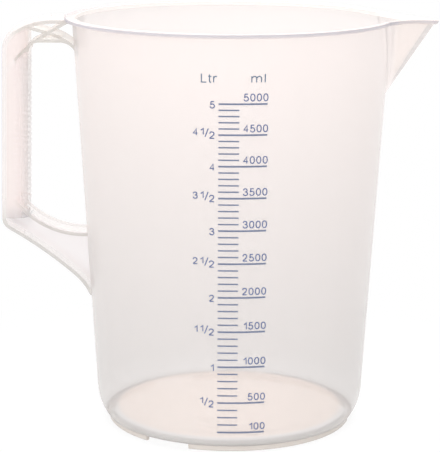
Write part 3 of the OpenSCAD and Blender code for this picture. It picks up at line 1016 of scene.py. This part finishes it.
GLYPHS = {
    "0": [("curve", superoval())],
    "1": [("line", [(0, 0.70), (0.45, 0.80), (1, 1), (1, 0)])],
    "2": [("curve", [(0.02, 0.72), (0.08, 0.88), (0.24, 0.98), (0.48, 1), (0.74, 0.96), (0.91, 0.84),
                     (0.92, 0.68), (0.82, 0.53), (0.58, 0.36), (0.26, 0.18), (0.08, 0.07), (0, 0)]),
          ("line", [(0, 0), (1, 0)])],
    "3": [("curve", [(0.02, 0.77), (0.12, 0.92), (0.30, 0.99), (0.48, 1), (0.70, 0.96), (0.87, 0.85),
                     (0.87, 0.70), (0.72, 0.58), (0.40, 0.54)]),
          ("curve", [(0.40, 0.54), (0.74, 0.50), (0.95, 0.38), (1, 0.26), (0.92, 0.12), (0.72, 0.02),
                     (0.48, 0), (0.24, 0.02), (0.07, 0.12), (0, 0.25)])],
    "4": [("line", [(0.74, 0), (0.74, 1), (0, 0.30), (1, 0.30)])],
    "5": [("line", [(0.90, 1), (0.22, 1), (0.10, 0.47)]),
          ("curve", [(0.10, 0.47), (0.28, 0.58), (0.50, 0.62), (0.76, 0.58), (0.95, 0.45), (1, 0.30),
                     (0.92, 0.13), (0.72, 0.02), (0.48, 0), (0.24, 0.02), (0.07, 0.11), (0, 0.24)])],
    "/": [("line", [(0, 0), (1, 1)])],
    "L": [("line", [(0, 1), (0, 0), (1, 0)])],
    "t": [("line", [(0.38, 1), (0.38, 0.16), (0.52, 0.02), (0.95, 0)]), ("line", [(0, 0.74), (1, 0.74)])],
    "r": [("line", [(0, 0), (0, 1)]), ("curve", [(0, 0.58), (0.18, 0.84), (0.50, 0.98), (1, 0.96)])],
    "m": [("line", [(0, 0), (0, 1)]),
          ("curve", [(0, 0.66), (0.10, 0.88), (0.27, 1), (0.43, 0.92), (0.5, 0.70)]),
          ("line", [(0.5, 0.72), (0.5, 0)]),
          ("curve", [(0.5, 0.66), (0.60, 0.88), (0.77, 1), (0.93, 0.92), (1, 0.70)]),
          ("line", [(1, 0.72), (1, 0)])],
    "l": [("line", [(0, 1), (0, 0)])],
}
print("signs:", "".join(GLYPHS))

# %% [markdown]
# ## From a path to a stroke
# A stroke is a strip as wide as the pen. Its two edges lie to the left and right of the path.
# At a bend they are moved out by a little more, so that the strip keeps its width there.

# %% Follow the pen
CURVE_STEPS = 5
SHARPEST = 0.6


def smoothed(points):
    """A curve through the points, worked out from four of them at a time."""
    p = np.asarray(points, float)
    p = np.concatenate([[2 * p[0] - p[1]], p, [2 * p[-1] - p[-2]]])
    out = []
    for a, b, c, d in zip(p, p[1:], p[2:], p[3:]):
        for t in np.arange(CURVE_STEPS) / CURVE_STEPS:
            square, cube = (2 * a - 5 * b + 4 * c - d) * t ** 2, (3 * b - a - 3 * c + d) * t ** 3
            out.append((2 * b + (c - a) * t + square + cube) / 2)
    return np.array(out + [p[-2]])


def pen_edges(path, pen):
    """The left and right edges of a stroke of the pen along a path."""
    step = np.diff(path, axis=0)
    step /= np.linalg.norm(step, axis=1)[:, None]
    ahead, behind = np.concatenate([step, step[-1:]]), np.concatenate([step[:1], step])
    middle = ahead + behind
    middle /= np.linalg.norm(middle, axis=1)[:, None]
    stretch = 1 / np.maximum((middle * ahead).sum(1), SHARPEST)
    reach = np.stack([-middle[:, 1], middle[:, 0]], 1) * (pen / 2 * stretch)[:, None]
    return path + reach, path - reach


print("points of a smooth 5:", len(smoothed(GLYPHS["5"][1][1])))

# %% [markdown]
# ## Ink on the wall
# A printed film has next to no thickness, but a face in the very plane of the wall would
# flicker. So the ink has a front 0.2 mm before its back, and both are bent round the cone of
# the wall.

# %% Bend points round the wall
INK_T = 0.2


def on_wall(points):
    """Wraps points (along the wall, height, depth of ink) round the cone, facing -Y."""
    along, z, depth = points[:, 0], points[:, 1], points[:, 2]
    radius = wall_r(z) + INK_T * depth
    angle = -math.pi / 2 + along / wall_r(z)
    return np.stack([radius * np.cos(angle), radius * np.sin(angle), z], 1)


print("ink is", INK_T, "mm thick")

# %% [markdown]
# ## A printed piece
# `Print` collects the strips of one kind of sign into one mesh. A strip has four sides, which
# run along the stroke, and two ends. A sign is stretched from its unit square to the box that
# its ink has to fill, and a number is written from right to left, because the figures of the
# scale end in one column.

# %% Collect strokes into a piece
DIGIT_W, NARROW_W, DIGIT_STEP = 3.05, 2.1, 3.8
PRINT_EDGE = 30


class Print:
    """Collects pen strokes into one printed piece."""

    def __init__(self, name, pen):
        self.name, self.pen, self.points, self.faces = name, pen, [], []

    def stroke(self, path):
        """Adds a closed strip of ink along a path in millimetres."""
        left, right = pen_edges(path, self.pen)
        n, start = len(path), sum(len(points) for points in self.points)
        corners = ((left, 1), (right, 1), (right, 0), (left, 0))
        sides = [np.column_stack([side, np.full(n, depth)]) for side, depth in corners]
        self.points.append(on_wall(np.concatenate(sides)))
        rows = [start + k * n for k in range(len(corners))]
        for a, b in zip(rows, rows[1:] + rows[:1]):
            self.faces += [(a + i, b + i, b + i + 1, a + i + 1) for i in range(n - 1)]
        self.faces += [tuple(reversed(rows)), tuple(row + n - 1 for row in rows)]

    def glyph(self, sign, left, bottom, width, height):
        """Draws a sign whose ink fills the box that is given."""
        size = np.array([max(width - self.pen, 0), height - self.pen])
        corner = np.array([left, bottom]) + self.pen / 2
        for kind, points in GLYPHS[sign]:
            path = np.asarray(points, float)
            self.stroke(corner + size * (smoothed(path) if kind == "curve" else path))

    def number(self, digits, right, bottom, height, width=DIGIT_W):
        """Writes digits with their right end at right. A 1 is narrower than the others."""
        for digit in reversed(digits):
            wide = NARROW_W if digit == "1" else width
            self.glyph(digit, right - wide, bottom, wide, height)
            right -= DIGIT_STEP

    def piece(self):
        """The printed piece as an object."""
        return mesh_piece(self.name, np.concatenate(self.points), self.faces, sharp=PRINT_EDGE)


print("a number of four digits is", 3 * DIGIT_STEP + DIGIT_W, "mm wide")

# %% [markdown]
# ## The scale
# The millilitre figures stand on the long lines, with their right ends in one column. The
# litre figures are centred on the lines at the other side, and the halves are written as a
# raised 1, a stroke and a lowered 2. Places are in millimetres along the wall and up from
# the line.

# %% Write the scale
MARK_LEFT, LONG_L = 7.0, 28.3
LONG_LINES = [100] + list(range(500, 5001, 500))
MILLI_RIGHT, MILLI_LIFT, MILLI_H, FIGURE_PEN = LONG_L - MARK_LEFT + 0.5, 1.6, 4.6, 0.62
LITRE_RIGHT, LITRE_DROP, LITRE_H = -9.1, 2.65, 4.4
WHOLE_RIGHT, WHOLE_DROP, WHOLE_H = -19.0, 0.6, 4.3
ONE_RIGHT, ONE_DROP, ONE_H = -15.5, 0.1, 4.2
SLASH_LEFT, SLASH_DROP, SLASH_W, SLASH_H = -15.1, 1.5, 2.5, 5.6
TWO_DROP, TWO_H, TWO_W = 2.3, 4.4, 3.3
LOWER_HALF = 0.7
UNIT_Z, UNIT_PEN = 228.0, 0.6
UNIT_SIGNS = (("L", -17.3, 3.5, 5.5), ("t", -13.3, 2.4, 5.1), ("r", -10.2, 2.6, 4.1), ("m", 11.7, 6.2, 4.1),
              ("l", 19.5, 0.5, 5.5))


def write_half(litres, z, whole):
    """Writes a half litre beside its line. The lowest one has no whole number and sits lower."""
    if whole != "0":
        litres.number(whole, WHOLE_RIGHT, z - WHOLE_DROP, WHOLE_H)
    base = z if whole != "0" else z - LOWER_HALF
    litres.number("1", ONE_RIGHT, base - ONE_DROP, ONE_H)
    litres.glyph("/", SLASH_LEFT, base - SLASH_DROP, SLASH_W, SLASH_H)
    litres.number("2", LITRE_RIGHT, base - TWO_DROP, TWO_H, TWO_W)


def scale_prints():
    """The millilitre figures, the litre figures and the words for the units."""
    millilitres, litres = Print("millilitre_figures", FIGURE_PEN), Print("litre_figures", FIGURE_PEN)
    for volume in LONG_LINES:
        z, whole = line_z(volume), str(volume // 1000)
        millilitres.number(str(volume), MILLI_RIGHT, z + MILLI_LIFT, MILLI_H)
        if volume % 1000 == 0:
            litres.number(whole, LITRE_RIGHT, z - LITRE_DROP, LITRE_H)
        elif volume % 500 == 0:
            write_half(litres, z, whole)
    units = Print("unit_words", UNIT_PEN)
    for sign, left, width, height in UNIT_SIGNS:
        units.glyph(sign, left, UNIT_Z, width, height)
    return [item.piece() for item in (millilitres, litres, units)]


PRINTS = scale_prints()
print("printed pieces:", [piece.name for piece in PRINTS])

# %% [markdown]
# ## The ink
# The scale is pad-printed in one blue. A printed film is thin and slightly uneven, so its
# colour drifts a little between a denser and a paler blue, and its sheen is flatter than
# the plastic's. The lines have a slightly paler ink than the figures.

# %% Mix the ink
PATCH_SCALE, PATCH_DETAIL = 180.0, 4.0
INK_ROUGH, INK_ROUGH_SPAN = 0.45, 0.2


def printed_ink(name, deep, pale):
    """Ink that drifts between a deep and a pale tone."""
    ink = Recipe(name)
    spot, _ = ink.place()
    patch = ink.noise(spot, PATCH_SCALE, PATCH_DETAIL)
    return ink.finish(Base_Color=ink.blend(patch, deep, pale), Roughness=patch * INK_ROUGH_SPAN + INK_ROUGH)


scale_ink = printed_ink("scale_ink", (0.085, 0.115, 0.245, 1), (0.14, 0.18, 0.34, 1))
line_ink = printed_ink("line_ink", (0.13, 0.155, 0.245, 1), (0.19, 0.225, 0.335, 1))
unit_ink = printed_ink("unit_ink", (0.09, 0.14, 0.21, 1), (0.15, 0.21, 0.30, 1))
print("inks:", scale_ink.name, line_ink.name, unit_ink.name)

# %% [markdown]
# ## Dress and fix the pieces
# Every piece rides on the jug's one body. The body and the handle stand in for the CAD nodes
# of the moulding, and the CAD lines of the scale stay and take the ink.

# %% Dress the pieces
def settle(piece):
    """Fixes a piece to the jug's body."""
    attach(piece, "root")


settle(body)
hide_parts("wall", "base", "foot", "rim", "spout")
settle(handle)
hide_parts(*FUSED_NODES, *LAID_NODES)
for piece in PRINTS:
    piece.data.materials.append(unit_ink if piece.name == "unit_words" else scale_ink)
    settle(piece)
LINE_NODES = ("long_marks", "short_marks")
for node in LINE_NODES:
    lines = frame["nodes"][node]
    lines.data.materials.clear()
    lines.data.materials.append(line_ink)
print("dressed", 2 + len(PRINTS) + len(LINE_NODES), "pieces")

# %% [markdown]
# ## The room
# The jug stands in a white tent. Its room is plain white to the eye, through the plastic and
# in gloss, and it is dimmer as a light, so that the shape of the jug still shows.

# %% Build the room
WHITE = (1, 1, 1, 1)
ROOM_LIGHT, ROOM_SEEN = 0.57, 1.0


def room():
    """A world that looks plain white and lights the jug dimly."""
    world = bpy.data.worlds.new("white_room")
    world.use_nodes = True
    tent = Graph(world.node_tree)
    tent.tree.nodes.remove(tent.tree.nodes["Background"])
    dim, bright = (tent.node("ShaderNodeBackground", {}, {"Color": WHITE, "Strength": strength})
                   for strength in (ROOM_LIGHT, ROOM_SEEN))
    walls = tent.node("ShaderNodeMixShader", {}, {0: tent.seen(), 1: dim, 2: bright})
    tent.connect(walls, tent.tree.nodes["World Output"].inputs["Surface"])
    return world


bpy.context.scene.world = room()
print("room:", bpy.context.scene.world.name, "lights at", ROOM_LIGHT)

# %% [markdown]
# ## The floor
# The floor is white paper. To the eye it glows plain white far from the jug, and close to the
# jug it keeps part of its shadow, so that the jug stands on something.

# %% Spread the paper
PAPER_HALF = 6000
PAPER_TONES, PAPER_ROUGH, FIBRE_SCALE = ((0.93, 0.93, 0.93, 1), (0.95, 0.95, 0.95, 1)), 0.9, 220.0
SHADOW_REACH, GLOW_NEAR = (0.10, 0.30), 0.90


def white_floor():
    """A wide sheet of paper at the height of the table."""
    corners = [(x * PAPER_HALF, y * PAPER_HALF, 0) for x, y in ((-1, -1), (1, -1), (1, 1), (-1, 1))]
    piece = mesh_piece("floor", corners, [(0, 1, 2, 3)])
    paper = Recipe("white_paper")
    spot, (x, y, _) = paper.place()
    paper.finish(Base_Color=paper.blend(paper.noise(spot, FIBRE_SCALE), *PAPER_TONES), Roughness=PAPER_ROUGH)
    lit = Signal(paper, paper.shader.outputs[0])
    glow = paper.node("ShaderNodeEmission", {}, {"Color": WHITE, "Strength": 1.0})
    far = paper.rise((x * x + y * y).root(), *SHADOW_REACH)
    share = paper.seen() * (far * (1 - GLOW_NEAR) + GLOW_NEAR)
    shown = paper.node("ShaderNodeMixShader", {}, {0: share, 1: lit, 2: glow})
    paper.connect(shown, paper.tree.nodes["Material Output"].inputs["Surface"])
    piece.data.materials.append(paper.material)
    return piece


paper_floor = white_floor()
print("paper:", [round(side) for side in paper_floor.dimensions], "m")

# %% [markdown]
# ## The lamps
# A broad soft light hangs overhead, shines down into the jug and brightens its floor. A weaker
# one in front lifts the ink and the near wall. A line of sight can cross more skins in the
# handle and the body than Blender lets through at first, so that limit is raised.

# %% Hang the lamps
OVERHEAD = {"place": (0.0, 0.05, 1.0), "target": (0, 0, 0.1), "size": (0.9, 0.9), "power": 9.7}
FRONT = {"place": (-0.3, -1.3, 1.0), "target": (0, 0, 0.15), "size": (0.9, 0.7), "power": 6.4}
SKINS_CROSSED = 32


def softbox(name, place, target, size, power):
    """A rectangular lamp at a place, turned to a target."""
    light = bpy.data.lights.new(name, "AREA")
    light.shape, light.energy = "RECTANGLE", power
    light.size, light.size_y = size
    lamp = bpy.data.objects.new(name, light)
    lamp.location = place
    lamp.rotation_euler = (Vector(target) - Vector(place)).to_track_quat("-Z", "Y").to_euler()
    bpy.context.scene.collection.objects.link(lamp)


softbox("overhead", **OVERHEAD)
softbox("front", **FRONT)
bpy.context.scene.view_settings.view_transform = "Standard"
bpy.context.scene.cycles.transparent_max_bounces = SKINS_CROSSED

# %% [markdown]
